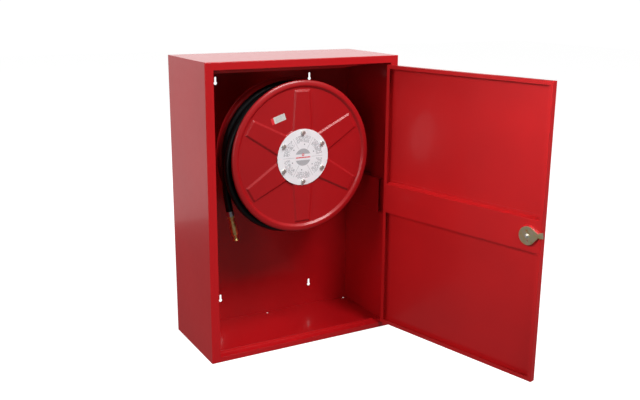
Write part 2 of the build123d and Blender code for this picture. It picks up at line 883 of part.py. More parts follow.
tail_plane = Plane(origin=(-tail_radius, tail_y, reel_z), x_dir=(1, 0, 0), z_dir=(0, -1, 0))
tail_points = [Vector(x, z) for x, z in tail_route]
tail_runs = [b - a for a, b in zip(tail_points, tail_points[1:])]
tail_radii = []
for before, after in zip(tail_runs, tail_runs[1:]):
    half_turn = radians(before.get_angle(after)) / 2
    tail_radii.append(0.45 * min(before.length, after.length) / tan(half_turn))
print("tail radii", [round(radius) for radius in tail_radii])
with BuildPart() as hose_tail:
    with BuildLine(tail_plane) as tail_path:
        FilletPolyline(*tail_route, radius=tail_radii)
    with BuildSketch(Plane(origin=tail_path.line @ 0, z_dir=tail_path.line % 0)):
        Circle(hose_diameter / 2)
    sweep(path=tail_path.line)
    tail_length = tail_path.wires()[0].length
    print("tail length", tail_length, "its volume", hose_tail.part.volume / tail_length)
    print("the hose's section", pi * (hose_diameter / 2) ** 2)
    with BuildSketch(reel_plane(lane_start + coil_width)):
        Circle(coil_radius + axial_clearance)
    extrude(amount=coil_width, mode=Mode.SUBTRACT)
export("hose_tail", hose_tail.part)

# =============================== tail fittings ===============================
tail_end = tail_path.line @ 1
tail_along = tail_path.line % 1
nozzle_axis = Axis(tail_end, tail_along)


def nozzle_profile():
    """Plane through the nozzle's axis: x along it from the hose's end, y out from it."""
    return Plane(origin=tail_end, x_dir=tail_along, z_dir=(0, -1, 0))


collar_start = ferrule_length
neck_start = collar_start + nozzle_collar
barrel_start = neck_start + nozzle_neck
barrel_end = barrel_start + barrel_length
tip_end = barrel_end + tip_length
stem_radius = 7
stem_end = barrel_end - 8

with BuildPart() as tail_ferrule:
    with BuildSketch(nozzle_profile()):
        with Locations((ferrule_length / 2, ferrule_radius / 2)):
            Rectangle(ferrule_length, ferrule_radius)
        for step in range(3):
            with Locations((4.5 + 5 * step, ferrule_radius)):
                Rectangle(2, 1.2, mode=Mode.SUBTRACT)
    revolve(axis=nozzle_axis)
export("tail_ferrule", tail_ferrule.part)

with BuildPart() as nozzle_body:
    with BuildSketch(nozzle_profile()):
        Polygon(
            (collar_start, 0),
            (collar_start, nozzle_collar_radius),
            (neck_start, nozzle_collar_radius),
            (neck_start, nozzle_neck_radius),
            (barrel_start, nozzle_neck_radius),
            (barrel_start, stem_radius),
            (stem_end, stem_radius),
            (stem_end, 0),
            align=None,
        )
        with Locations((barrel_start + 12, stem_radius)):
            Rectangle(3.4, 2.4, mode=Mode.SUBTRACT)
    revolve(axis=nozzle_axis)
    collar_face = Plane(origin=tail_end + tail_along * collar_start, z_dir=tail_along)
    with BuildSketch(collar_face):
        with PolarLocations(nozzle_collar_radius, 6):
            Circle(2.2)
    extrude(amount=nozzle_collar, mode=Mode.SUBTRACT)
export("nozzle_body", nozzle_body.part)

barrel_bore = stem_radius + running_clearance
with BuildPart() as nozzle_seal:
    with BuildSketch(nozzle_profile()):
        with Locations((barrel_start + 12, stem_radius - 0.55)):
            Circle(0.6)
    revolve(axis=nozzle_axis)
export("nozzle_seal", nozzle_seal.part)

with BuildPart() as nozzle_barrel:
    with BuildSketch(nozzle_profile()):
        Polygon(
            (barrel_start + axial_clearance, barrel_bore),
            (barrel_start + axial_clearance, barrel_start_radius),
            (barrel_start + 14, barrel_start_radius),
            (barrel_start + 26, barrel_end_radius),
            (barrel_end - 5, barrel_end_radius),
            (barrel_end, tip_radius),
            (barrel_end, jet_radius),
            (barrel_end - 4, jet_radius),
            (barrel_end - 7, barrel_bore),
            align=None,
        )
    revolve(axis=nozzle_axis)
export("nozzle_barrel", nozzle_barrel.part)

with BuildPart() as nozzle_tip:
    with BuildSketch(nozzle_profile()):
        Polygon(
            (barrel_end, jet_radius),
            (barrel_end, tip_radius),
            (tip_end - 7, tip_radius - 1.5),
            (tip_end - 2, tip_mouth_radius),
            (tip_end, tip_mouth_radius),
            (tip_end, tip_mouth_radius - 3),
            (tip_end - 8, jet_radius),
            align=None,
        )
    revolve(axis=nozzle_axis)
export("nozzle_tip", nozzle_tip.part)

# ============================ spindle and bracket ============================
shoulder_y = hub_rear_y + 2
spindle_end_y = valve_front_y + valve_seat
seal_y = [hub_rear_y - bush_length - seal_from_bush - seal_pitch * step for step in range(2)]
nut_y = bracket_web_y + bracket_sheet
with BuildPart() as spindle:
    with BuildSketch(reel_plane(spindle_end_y)):
        Circle(spindle_radius)
    extrude(amount=spindle_end_y - spindle_front_y)
    with BuildSketch(reel_plane(bracket_web_y)):
        Circle(hub_bore)
    extrude(amount=bracket_web_y - shoulder_y)
    with BuildSketch(reel_plane(bracket_web_y)):
        Circle(spindle_flange_radius)
    extrude(amount=6)
    with BuildSketch(reel_plane(shoulder_y + 4)):
        Circle(hub_radius - 2)
    extrude(amount=4)
    for groove_y in seal_y:
        with BuildSketch(reel_plane(groove_y + seal_section + 0.2)):
            Circle(spindle_radius)
            Circle(hub_bore - 2 * seal_section - 0.06, mode=Mode.SUBTRACT)
        extrude(amount=2 * seal_section + 0.4, mode=Mode.SUBTRACT)
    with BuildSketch(reel_plane(spindle_end_y)):
        Circle(bore_radius)
    extrude(amount=spindle_end_y - spindle_front_y, mode=Mode.SUBTRACT)
export("spindle", spindle.part)

with BuildPart() as spindle_seals:
    for groove_y in seal_y:
        ring_plane = Plane(origin=(0, groove_y, reel_z), x_dir=(0, 1, 0), z_dir=(1, 0, 0))
        with BuildSketch(ring_plane):
            with Locations((0, hub_bore - seal_section - 0.03)):
                Circle(seal_section)
        revolve(axis=reel_axis)
export("spindle_seals", spindle_seals.part)

with BuildPart() as retaining_ring:
    with BuildSketch(reel_plane(front_bush_y - axial_clearance)):
        Circle(hub_bore - 0.5)
        Circle(spindle_radius, mode=Mode.SUBTRACT)
    extrude(amount=ring_width)
export("retaining_ring", retaining_ring.part)

with BuildPart() as friction_washer:
    with BuildSketch(reel_plane(shoulder_y - axial_clearance / 2)):
        Circle(hub_radius - 3)
        Circle(spindle_radius + running_clearance, mode=Mode.SUBTRACT)
    extrude(amount=2 - axial_clearance)
export("friction_washer", friction_washer.part)

with BuildPart() as spindle_nut:
    with BuildSketch(reel_plane(nut_y + spindle_nut_height)):
        RegularPolygon(radius=spindle_radius + spindle_nut_wall, side_count=6, major_radius=False)
        Circle(spindle_radius, mode=Mode.SUBTRACT)
    extrude(amount=spindle_nut_height)
export("spindle_nut", spindle_nut.part)

bracket_back_y = back_y - shell_sheet
stud_x = bracket_width / 2 + bracket_foot / 2
stud_z = bracket_height / 3
with BuildPart() as reel_bracket:
    with BuildSketch(Plane.XY.offset(reel_z - bracket_height / 2)):
        with BuildLine():
            Polyline(
                (-bracket_width / 2 - bracket_foot, bracket_back_y),
                (-bracket_width / 2 - bracket_foot, bracket_back_y - bracket_sheet),
                (-bracket_width / 2, bracket_back_y - bracket_sheet),
                (-bracket_width / 2, bracket_web_y),
                (bracket_width / 2, bracket_web_y),
                (bracket_width / 2, bracket_back_y - bracket_sheet),
                (bracket_width / 2 + bracket_foot, bracket_back_y - bracket_sheet),
                (bracket_width / 2 + bracket_foot, bracket_back_y),
                (bracket_width / 2 - bracket_sheet, bracket_back_y),
                (bracket_width / 2 - bracket_sheet, nut_y),
                (-bracket_width / 2 + bracket_sheet, nut_y),
                (-bracket_width / 2 + bracket_sheet, bracket_back_y),
                close=True,
            )
        make_face()
    extrude(amount=bracket_height)
    with BuildSketch(reel_plane(nut_y)):
        Circle(spindle_radius)
    extrude(amount=bracket_sheet, mode=Mode.SUBTRACT)
    with BuildSketch(reel_plane(bracket_back_y)):
        with GridLocations(2 * stud_x, 2 * stud_z, 2, 2):
            Circle(tie_radius)
    extrude(amount=bracket_sheet, mode=Mode.SUBTRACT)
export("reel_bracket", reel_bracket.part)

with BuildPart() as bracket_studs:
    with BuildSketch(reel_plane(bracket_back_y)):
        with GridLocations(2 * stud_x, 2 * stud_z, 2, 2):
            Circle(tie_radius)
    extrude(amount=bracket_sheet + washer_sheet + 1.4 * m8_nut)
export("bracket_studs", bracket_studs.part)

washer_y = bracket_back_y - bracket_sheet
with BuildPart() as bracket_washers:
    with BuildSketch(reel_plane(washer_y)):
        with GridLocations(2 * stud_x, 2 * stud_z, 2, 2):
            Circle(washer_radius)
            Circle(tie_radius, mode=Mode.SUBTRACT)
    extrude(amount=washer_sheet)
export("bracket_washers", bracket_washers.part)

with BuildPart() as bracket_nuts:
    with BuildSketch(reel_plane(washer_y - washer_sheet)):
        with GridLocations(2 * stud_x, 2 * stud_z, 2, 2):
            RegularPolygon(radius=m8_flats / 2, side_count=6, major_radius=False)
            Circle(tie_radius, mode=Mode.SUBTRACT)
    extrude(amount=m8_nut)
export("bracket_nuts", bracket_nuts.part)

# ================================ stop valve =================================
valve_middle_y = valve_front_y + valve_length / 2
seat_width = 5
seat_bore = bore_radius
chamber_half = ball_radius + 1
valve_centre = Vector(0, valve_middle_y, reel_z)


def valve_level(drop):
    """Horizontal plane drop below the valve's middle, facing down."""
    return Plane(origin=(0, valve_middle_y, reel_z - drop), x_dir=(1, 0, 0), z_dir=(0, 0, -1))


with BuildPart() as valve_body:
    with BuildSketch(reel_plane(valve_rear_y)):
        RegularPolygon(radius=valve_end_flats / 2, side_count=6, major_radius=False)
    extrude(amount=valve_length)
    with BuildSketch(reel_plane(valve_rear_y - valve_end)):
        Circle(valve_body_radius)
    extrude(amount=valve_length - 2 * valve_end)
    with BuildSketch(valve_level(0)):
        Circle(valve_neck_radius)
    extrude(amount=valve_neck)
    with BuildSketch(reel_plane(valve_rear_y)):
        Circle(inlet_thread_radius)
    extrude(amount=inlet_thread_length, mode=Mode.SUBTRACT)
    with BuildSketch(reel_plane(spindle_end_y)):
        Circle(spindle_radius)
    extrude(amount=spindle_end_y - valve_front_y, mode=Mode.SUBTRACT)
    with BuildSketch(reel_plane(valve_rear_y - inlet_thread_length)):
        Circle(bore_radius)
    extrude(amount=valve_rear_y - inlet_thread_length - spindle_end_y, mode=Mode.SUBTRACT)
    with BuildSketch(reel_plane(valve_middle_y + chamber_half)):
        Circle(ball_radius + 2)
    extrude(amount=2 * chamber_half, mode=Mode.SUBTRACT)
    with BuildSketch(valve_level(0)):
        Circle(valve_stem_radius + running_clearance)
    extrude(amount=valve_neck, mode=Mode.SUBTRACT)
export("valve_body", valve_body.part)

with BuildPart() as valve_seats:
    for side in (-1, 1):
        with BuildSketch(reel_plane(valve_middle_y + side * chamber_half - min(side, 0) * seat_width)):
            Circle(ball_radius + 2)
            Circle(seat_bore, mode=Mode.SUBTRACT)
        extrude(amount=seat_width)
    with Locations(valve_centre):
        Sphere(ball_radius + running_clearance, mode=Mode.SUBTRACT)
export("valve_seats", valve_seats.part)

# shut: the ball's bore lies across the pipe, along X
with BuildPart() as valve_ball:
    with BuildSketch(reel_plane(valve_middle_y)):
        Circle(ball_radius)
        with Locations((0, bore_radius - ball_radius)):
            Rectangle(2 * ball_radius, 2 * ball_radius, mode=Mode.SUBTRACT)
    revolve(axis=Axis(valve_centre, (1, 0, 0)))
export("valve_ball", valve_ball.part)

with BuildPart() as valve_stem:
    with BuildSketch(valve_level(bore_radius + 2)):
        Circle(valve_stem_radius)
    extrude(amount=lever_drop + lever_sheet - bore_radius - 2)
    with Locations(valve_centre):
        Sphere(ball_radius, mode=Mode.SUBTRACT)
export("valve_stem", valve_stem.part)

with BuildPart() as packing_nut:
    with BuildSketch(valve_level(valve_neck)):
        RegularPolygon(radius=valve_neck_radius + 1, side_count=6, major_radius=False)
        Circle(valve_stem_radius + running_clearance, mode=Mode.SUBTRACT)
    extrude(amount=packing_nut_height)
export("packing_nut", packing_nut.part)

with BuildPart() as valve_lever:
    with BuildSketch(valve_level(lever_drop)):
        Circle(valve_neck_radius)
        with Locations((lever_length / 2, 0)):
            Rectangle(lever_length, lever_width)
        Circle(valve_stem_radius, mode=Mode.SUBTRACT)
    extrude(amount=lever_sheet)
export("valve_lever", valve_lever.part)

grip_start = 0.4 * lever_length
grip_sheet = 2
with BuildPart() as lever_grip:
    with BuildSketch(valve_level(lever_drop - grip_sheet)):
        with Locations(((grip_start + lever_length + grip_sheet) / 2, 0)):
            Rectangle(lever_length + grip_sheet - grip_start, lever_width + 2 * grip_sheet)
    extrude(amount=lever_sheet + 2 * grip_sheet)
    fillet(lever_grip.edges().filter_by(Axis.Z), radius=grip_sheet)
    with BuildSketch(valve_level(lever_drop)):
        with Locations((lever_length / 2, 0)):
            Rectangle(lever_length, lever_width)
    extrude(amount=lever_sheet, mode=Mode.SUBTRACT)
export("lever_grip", lever_grip.part)

with BuildPart() as lever_nut:
    with BuildSketch(valve_level(lever_drop + lever_sheet)):
        RegularPolygon(radius=m8_flats / 2, side_count=6, major_radius=False)
    extrude(amount=5)
export("lever_nut", lever_nut.part)

print("lock", [round(v, 2) for v in lock_point], [round(v, 5) for v in door_inward])
print("hinge", hinge_x, hinge_y)
print("nozzle", [round(v, 2) for v in tail_end], [round(v, 5) for v in tail_along], "tip", tip_end)
print("coil radius", coil_radius, "tail radius", tail_radius)
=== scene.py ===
from math import cos, floor, pi, radians, sin

import bpy
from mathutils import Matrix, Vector


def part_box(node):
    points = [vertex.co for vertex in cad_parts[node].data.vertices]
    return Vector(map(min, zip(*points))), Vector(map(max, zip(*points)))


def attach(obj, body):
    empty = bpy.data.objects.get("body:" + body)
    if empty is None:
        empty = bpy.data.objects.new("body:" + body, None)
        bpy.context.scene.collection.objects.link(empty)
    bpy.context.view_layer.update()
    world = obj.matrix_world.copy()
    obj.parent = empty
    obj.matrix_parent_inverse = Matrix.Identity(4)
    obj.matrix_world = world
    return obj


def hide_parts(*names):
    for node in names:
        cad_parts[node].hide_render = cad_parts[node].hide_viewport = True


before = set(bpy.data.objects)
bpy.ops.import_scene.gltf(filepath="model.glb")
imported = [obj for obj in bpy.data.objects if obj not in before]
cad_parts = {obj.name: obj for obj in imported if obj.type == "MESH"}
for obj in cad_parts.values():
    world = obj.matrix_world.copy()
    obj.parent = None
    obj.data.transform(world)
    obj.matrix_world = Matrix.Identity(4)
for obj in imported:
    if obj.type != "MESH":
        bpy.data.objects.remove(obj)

scene = bpy.context.scene
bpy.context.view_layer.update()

# --- Camera ---------------------------------------------------------------
# Stands in front of the cabinet and to its left, a little above the middle of
# the reel, so that it looks into the cabinet past its left edge.
camera = bpy.data.objects.new("camera", bpy.data.cameras.new("camera"))
camera.location = (-1.3572, -2.6753, 1.2840)
camera.rotation_euler = [radians(angle) for angle in (75.571, -0.418, -29.314)]
camera.data.lens = 46.36
scene.collection.objects.link(camera)
scene.camera = camera
scene.view_settings.view_transform = "Standard"

# --- Hose wound on the drum -----------------------------------------------
# Black rubber hose, 19 mm bore and 26 mm outside, 35.7 m of it. It starts at the
# crimped outlet of the drum, lies in six full layers of five turns, and the slack
# outer turns hang below the discs until the last one comes off on the left.


class Wire:
    """A socket in a node tree: sums on it add Math nodes, and node() adds any other."""

    def __init__(self, tree, socket=None):
        self.tree = tree
        self.socket = socket

    def node(self, kind, settings=None, values=None, out=0):
        made = self.tree.nodes.new(kind)
        for name, value in (settings or {}).items():
            if name == "stops":
                ramp = made.color_ramp.elements
                for element, (place, colour) in zip((ramp[0], ramp[-1]), (value[0], value[-1])):
                    element.position, element.color = place, colour
                for place, colour in value[1:-1]:
                    ramp.new(place).color = colour
            else:
                setattr(made, name, value)
        if isinstance(values, (list, tuple)):
            values = dict(enumerate(values))
        for name, value in (values or {}).items():
            socket = self.found(made.inputs, name)
            if isinstance(value, Wire):
                self.tree.links.new(value.socket, socket)
            else:
                socket.default_value = value
        return Wire(self.tree, self.found(made.outputs, out))

    def found(self, sockets, name):
        if isinstance(name, int):
            return sockets[name]
        return next(socket for socket in sockets if name in (socket.identifier, socket.name))

    def beside(self, name):
        """Another output of the node that this one comes from."""
        return Wire(self.tree, self.found(self.socket.node.outputs, name))

    def maths(self, operation, *values):
        return self.node("ShaderNodeMath", {"operation": operation}, values)

    def __add__(self, other):
        return self.maths("ADD", self, other)

    def __radd__(self, other):
        return self.maths("ADD", other, self)

    def __sub__(self, other):
        return self.maths("SUBTRACT", self, other)

    def __rsub__(self, other):
        return self.maths("SUBTRACT", other, self)

    def __mul__(self, other):
        return self.maths("MULTIPLY", self, other)

    def __rmul__(self, other):
        return self.maths("MULTIPLY", other, self)

    def __truediv__(self, other):
        return self.maths("DIVIDE", self, other)

    def __rtruediv__(self, other):
        return self.maths("DIVIDE", other, self)

    def __gt__(self, other):
        return self.maths("GREATER_THAN", self, other)

    def __lt__(self, other):
        return self.maths("LESS_THAN", self, other)


def blank_finish(name, constants):
    """A new finish: its material, its shader and its Object coordinates."""
    material = bpy.data.materials.new(name)
    material.use_nodes = True
    shader = material.node_tree.nodes["Principled BSDF"]
    for socket, value in constants.items():
        shader.inputs[socket].default_value = value
    where = Wire(material.node_tree).node("ShaderNodeTexCoord", out="Object")
    return material, shader, where


def grain(where, scale, detail=2.0, stretch=None, seed=0.0):
    """Noise from 0 to 1, scale cycles to the metre, stretched by a vector if one is given."""
    place = where
    if stretch or seed:
        place = where.node("ShaderNodeMapping", values={
            "Vector": where, "Location": (seed, seed, seed), "Scale": stretch or (1, 1, 1)})
    return where.node("ShaderNodeTexNoise", values={"Vector": place, "Scale": scale, "Detail": detail})


def tint(mask, plain, other):
    """Colour that goes from plain to other as mask goes from 0 to 1."""
    return mask.node("ShaderNodeMix", {"data_type": "RGBA"},
                     {"Factor_Float": mask, "A_Color": plain, "B_Color": other}, "Result_Color")


def fade(value, low, high, start=0.0, end=1.0):
    """Start below low, end above high, and straight between them."""
    return value.node("ShaderNodeMapRange", values={
        "Value": value, "From Min": low, "From Max": high, "To Min": start, "To Max": end})


def into(shader, colour=None, roughness=None, height=None, depth=0.0001, strength=1.0, soft_edge=0.0):
    """Leads a finish's colour, roughness and relief into its shader."""
    tree = shader.id_data
    if colour:
        tree.links.new(colour.socket, shader.inputs["Base Color"])
    if roughness:
        tree.links.new(roughness.socket, shader.inputs["Roughness"])
    if height:
        relief = {"Height": height, "Distance": depth, "Strength": strength}
        if soft_edge:
            relief["Normal"] = height.node("ShaderNodeBevel", {"samples": 4}, {"Radius": soft_edge}, "Normal")
        bump = height.node("ShaderNodeBump", values=relief)
        tree.links.new(bump.socket, shader.inputs["Normal"])


hose_rubber, shader, where = blank_finish("hose_rubber", {"Specular IOR Level": 0.26})
bloom = grain(where, 7, 4)
weave = grain(where, 520, 3)
into(shader,
     tint(fade(bloom, 0.35, 0.75), (0.0022, 0.0022, 0.0025, 1), (0.006, 0.006, 0.0066, 1)),
     0.27 + 0.16 * bloom + 0.06 * weave, weave, 0.0003, 0.35)

disc_low, disc_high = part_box("front_disc")
reel_x = (disc_low.x + disc_high.x) / 2
reel_z = (disc_low.z + disc_high.z) / 2
hose_diameter = 0.026
lanes = [-0.1216, -0.0948, -0.0680, -0.0412, -0.0144]
first_turn = 0.108
layer_pitch = 0.0238
full_layers = 6
last_turns = 2.6235
tail_lane = -0.031
points_a_turn = 12
inside_corner = cos(pi / points_a_turn) ** 0.99
outlet_angle = -44.5
outlet_mouth = Vector((0.07998, -0.1216, 0.62347))
outlet_aim = Vector((0.866, 0, 0.5))
crossings = 6
sag_middle, sag_half, sag_drop = 585, 75, 0.029
near = 1e-6


def wound(turns):
    """Point of the winding that many turns after its start: angle, radius and lane.

    The hose crosses to the next lane in the last sixth of each turn.
    """
    layer = min(floor(turns / len(lanes) + near), full_layers)
    within = turns - layer * len(lanes)
    lane = floor(within + near)
    shift = max(0, (within - lane) * crossings - (crossings - 1))
    climb = shift if lane == len(lanes) - 1 else 0
    across = min(lane + shift, len(lanes) - 1)
    if layer % 2:
        across = len(lanes) - 1 - across
    y = lanes[0] + across * (lanes[1] - lanes[0])
    radius = first_turn + (layer + climb) * layer_pitch
    angle = outlet_angle + 360 * turns
    if layer == full_layers:
        past_sag = within * 360 + outlet_angle - sag_middle
        if abs(past_sag) < sag_half:
            radius += sag_drop * cos(pi * past_sag / (2 * sag_half))
        if within > 2:
            y += (tail_lane - y) * (within - 2) / (last_turns - 2)
    return radians(angle), radius, y


def cord_curve(name, points, bevel_resolution, resolution):
    """A round cord along one smooth spline with these control points."""
    curve = bpy.data.curves.new(name, "CURVE")
    curve.dimensions = "3D"
    curve.bevel_depth = hose_diameter / 2
    curve.bevel_resolution = bevel_resolution
    curve.use_fill_caps = True
    spline = curve.splines.new("NURBS")
    spline.points.add(len(points) - 1)
    for point, place in zip(spline.points, points):
        point.co = (*place, 1)
    spline.order_u = 3
    spline.use_endpoint_u = True
    spline.resolution_u = resolution
    piece = bpy.data.objects.new(name, curve)
    scene.collection.objects.link(piece)
    return piece


turns_in_all = full_layers * len(lanes) + last_turns
winding = [outlet_mouth, outlet_mouth + 0.02 * outlet_aim]
for step in range(1, int(turns_in_all * points_a_turn)):
    angle, radius, y = wound(step / points_a_turn)
    reach = radius / inside_corner
    winding.append(Vector((reel_x + reach * cos(angle), y, reel_z + reach * sin(angle))))
end_radius = first_turn + full_layers * layer_pitch
winding.append(Vector((reel_x - end_radius, tail_lane, reel_z + 0.066)))
winding.append(Vector((reel_x - end_radius, tail_lane, reel_z)))
wound_hose = cord_curve("wound_hose", winding, 5, 6)
wound_hose.data.materials.append(hose_rubber)
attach(wound_hose, "reel")
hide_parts("hose_coil")

# --- Hose end -------------------------------------------------------------
# The last 0.2 m of the same hose. It comes off the winding on the left, hangs
# straight down beside the reel and swings a little inward under its own set.
hose_end = cord_curve("hose_end", [
    Vector((-0.2508, tail_lane, 0.7020)),
    Vector((-0.2508, tail_lane, 0.6470)),
    Vector((-0.2500, tail_lane, 0.5960)),
    Vector((-0.2463, tail_lane, 0.5490)),
    Vector((-0.2378, tail_lane, 0.5070))], 6, 16)
hose_end.data.materials.append(hose_rubber)
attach(hose_end, "cabinet")
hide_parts("hose_tail")

# --- Cabinet shell --------------------------------------------------------
# Folded 1.5 mm sheet steel, mitred and welded at the front corners, with a deep
# return inside the opening, then powder coated in a glossy signal red.


def red_coat(name, red, deep_red, roughness, peel):
    """Powder coat over steel: slow changes of tone, orange peel and softened edges."""
    material, shader, where = blank_finish(name, {"Specular IOR Level": 0.4, "Coat Weight": 0.35,
                                                  "Coat Roughness": 0.12, "Coat IOR": 1.45})
    tone = grain(where, 3.1, 3)
    settled = grain(where, 42, 2, seed=4.0)
    orange_peel = grain(where, 430, 2)
    into(shader,
         tint(fade(tone, 0.3, 0.7), red, deep_red),
         roughness + 0.08 * settled,
         orange_peel + 0.5 * settled, 0.0002, peel, 0.0009)
    return material


def dress(material, *names):
    """Gives the CAD nodes their finish."""
    for name in names:
        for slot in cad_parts[name].material_slots:
            slot.material = material


cabinet_red = red_coat("cabinet_red", (0.56, 0.006, 0.010, 1), (0.50, 0.005, 0.008, 1), 0.30, 0.18)
dress(cabinet_red, "left_side_panel", "right_side_panel", "top_panel", "base_panel", "wall_channel")

# --- Back panel -----------------------------------------------------------
# Sheet steel set in from behind, with four hanging keyholes and a hole for the
# water pipe. A row of spot welds holds its lower edge to the base.
dress(cabinet_red, "back_panel")


def new_tree(name, sizes):
    """An empty tree of Geometry Nodes with these named sizes, and a finish, as its inputs."""
    tree = bpy.data.node_groups.new(name, "GeometryNodeTree")
    tree.interface.new_socket("Shape", in_out="OUTPUT", socket_type="NodeSocketGeometry")
    for size, value in sizes.items():
        kind = "NodeSocketInt" if isinstance(value, int) else "NodeSocketFloat"
        tree.interface.new_socket(size, in_out="INPUT", socket_type=kind).default_value = value
    tree.interface.new_socket("Finish", in_out="INPUT", socket_type="NodeSocketMaterial")
    given = Wire(tree).node("NodeGroupInput")
    return tree, given


def close_tree(shape, finish):
    """Ends a tree: real geometry in one finish, shaded smooth."""
    real = shape.node("GeometryNodeRealizeInstances", values=[shape])
    smooth = real.node("GeometryNodeSetShadeSmooth", values={"Geometry": real})
    painted = smooth.node("GeometryNodeSetMaterial", values={"Geometry": smooth, "Material": finish})
    ending = painted.tree.nodes.new("NodeGroupOutput")
    painted.tree.links.new(painted.socket, ending.inputs[0])


def run_tree(name, tree, sizes, finish):
    """The plain mesh that a tree makes with these sizes."""
    piece = bpy.data.objects.new(name, bpy.data.meshes.new(name + "_start"))
    scene.collection.objects.link(piece)
    maker = piece.modifiers.new("maker", "NODES")
    maker.node_group = tree
    for item in tree.interface.items_tree:
        if item.in_out == "INPUT":
            if item.name == "Finish":
                maker[item.identifier] = finish
            elif item.name in sizes:
                maker[item.identifier] = sizes[item.name]
    made = bpy.data.meshes.new_from_object(piece.evaluated_get(bpy.context.evaluated_depsgraph_get()))
    piece.modifiers.clear()
    piece.data = made
    made.name = name
    return piece


weld_tree, given = new_tree("spot_weld_row", {
    "Start X": 0.0, "Y": 0.0, "Z": 0.0, "Pitch": 0.1, "Count": 5, "Weld radius": 0.0022, "Weld rise": 0.0004})
row = given.node("GeometryNodeMeshLine", values={
    "Count": given.beside("Count"),
    "Start Location": given.node("ShaderNodeCombineXYZ", values=[
        given.beside("Start X"), given.beside("Y"), given.beside("Z")]),
    "Offset": given.node("ShaderNodeCombineXYZ", values=[given.beside("Pitch"), 0.0, 0.0])})
ring = given.node("GeometryNodeCurvePrimitiveCircle", values={
    "Resolution": 20, "Radius": given.beside("Weld radius")})
wall = given.node("GeometryNodeCurvePrimitiveCircle", values={
    "Resolution": 8, "Radius": given.beside("Weld rise")})
crater = ring.node("GeometryNodeCurveToMesh", values={"Curve": ring, "Profile Curve": wall})
standing = crater.node("GeometryNodeTransform", values={"Geometry": crater, "Rotation": (radians(90), 0, 0)})
placed = row.node("GeometryNodeInstanceOnPoints", values={"Points": row, "Instance": standing})
close_tree(placed, given.beside("Finish"))

back_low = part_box("back_panel")[0]
back_welds = run_tree("back_welds", weld_tree, {
    "Start X": -0.167, "Y": back_low.y, "Z": 0.0115, "Pitch": 0.098, "Count": 5}, cabinet_red)
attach(back_welds, "cabinet")

# --- Door -----------------------------------------------------------------
# A tray of 1.2 mm sheet steel with its edges folded twice, and a pressed
# stiffener across the middle, spot welded along its feet. Same red as the shell.
door_red = red_coat("door_red", (0.54, 0.008, 0.010, 1), (0.47, 0.007, 0.009, 1), 0.32, 0.22)
dress(door_red, "door_panel", "door_stiffener", "hinge_door_leaves", "hinge_frame_leaves", "lock_boss")

# --- Hinge pins and small zinc parts ----------------------------------------
# Plain steel pins, nuts, bolts and washers, bright zinc plated in a barrel, so
# that the plate is slightly clouded and each face has fine rubbing marks.


def plated(name, colour, shade, roughness, scale):
    """Zinc plate: clouded patches and fine scuffs."""
    material, shader, where = blank_finish(name, {"Metallic": 1.0})
    cloud = grain(where, scale, 3)
    scuff = grain(where, scale * 9, 2, (1, 1, 3))
    into(shader, tint(fade(cloud, 0.35, 0.7), colour, shade),
         roughness + 0.22 * cloud, scuff, 0.00006, 0.6, 0.0003)
    return material


bright_zinc = plated("bright_zinc", (0.82, 0.81, 0.77, 1), (0.66, 0.65, 0.60, 1), 0.36, 130)
dress(bright_zinc, "hinge_pins", "bracket_studs", "bracket_washers", "bracket_nuts", "hub_screws",
      "tie_bolts", "tie_washers", "tie_nuts", "cam_washer", "cam_screw", "lever_nut", "spindle_nut",
      "valve_lever", "outlet_pipe", "drum_outlet")

# --- Lock cam ---------------------------------------------------------------
# A stamped 3 mm steel cam with a cranked tongue and two slots, plated in yellow
# passivated zinc, which shows faint green and pink patches.
yellow_zinc, shader, where = blank_finish("yellow_zinc", {"Metallic": 1.0})
patch = grain(where, 62, 3)
film = patch.node("ShaderNodeValToRGB", {"stops": [
    (0.30, (0.66, 0.53, 0.26, 1)), (0.45, (0.72, 0.60, 0.35, 1)), (0.55, (0.62, 0.62, 0.40, 1)),
    (0.66, (0.74, 0.55, 0.42, 1)), (0.80, (0.68, 0.56, 0.30, 1))]}, [patch])
scratch = grain(where, 900, 2, (1, 1, 0.15))
into(shader, film, 0.3 + 0.2 * patch, scratch, 0.00008, 0.5, 0.0004)
dress(yellow_zinc, "lock_cam")

# --- Lock barrel and knob -----------------------------------------------------
# Zinc die castings, polished and chromed, with the knob and its bezel outside.
chrome, shader, where = blank_finish("chromed_casting", {"Metallic": 1.0})
wipe = grain(where, 55, 4)
into(shader, tint(fade(wipe, 0.3, 0.8), (0.78, 0.79, 0.80, 1), (0.62, 0.63, 0.65, 1)),
     0.06 + 0.14 * wipe, grain(where, 260, 2), 0.00008, 0.3, 0.0005)
dress(chrome, "lock_knob", "lock_barrel", "lock_bezel", "lock_barrel_nut")

# --- Turned steel parts -------------------------------------------------------
# Spindle, ring, valve stem and lock shaft, turned from bright steel bar, with
# the fine rings that the tool leaves.
bright_steel, shader, where = blank_finish("bright_steel", {"Metallic": 1.0})
turning = grain(where, 60, 3, (1, 26, 1))
into(shader, tint(fade(turning, 0.3, 0.7), (0.56, 0.57, 0.58, 1), (0.44, 0.44, 0.45, 1)),
     0.2 + 0.2 * turning, turning, 0.00006, 0.6, 0.0003)
dress(bright_steel, "spindle", "retaining_ring", "valve_stem", "lock_shaft", "friction_washer")

# --- Reel discs -----------------------------------------------------------
# Two discs pressed from 1.5 mm steel. Each has a raised hub, six raised ribs with
# sloping flanks, a crowned rim and an edge rolled over a wire, and is powder coated.
# The reel's red is the cabinet's red coat made darker: painted shade for the reel, which stands back in the
# cabinet under its top and left side.
reel_red_painted_shade = red_coat("reel_red_painted_shade", (0.42, 0.0057, 0.0085, 1), (0.38, 0.0047, 0.0076, 1), 0.33, 0.12)
dress(reel_red_painted_shade, "drum", "reel_bracket")

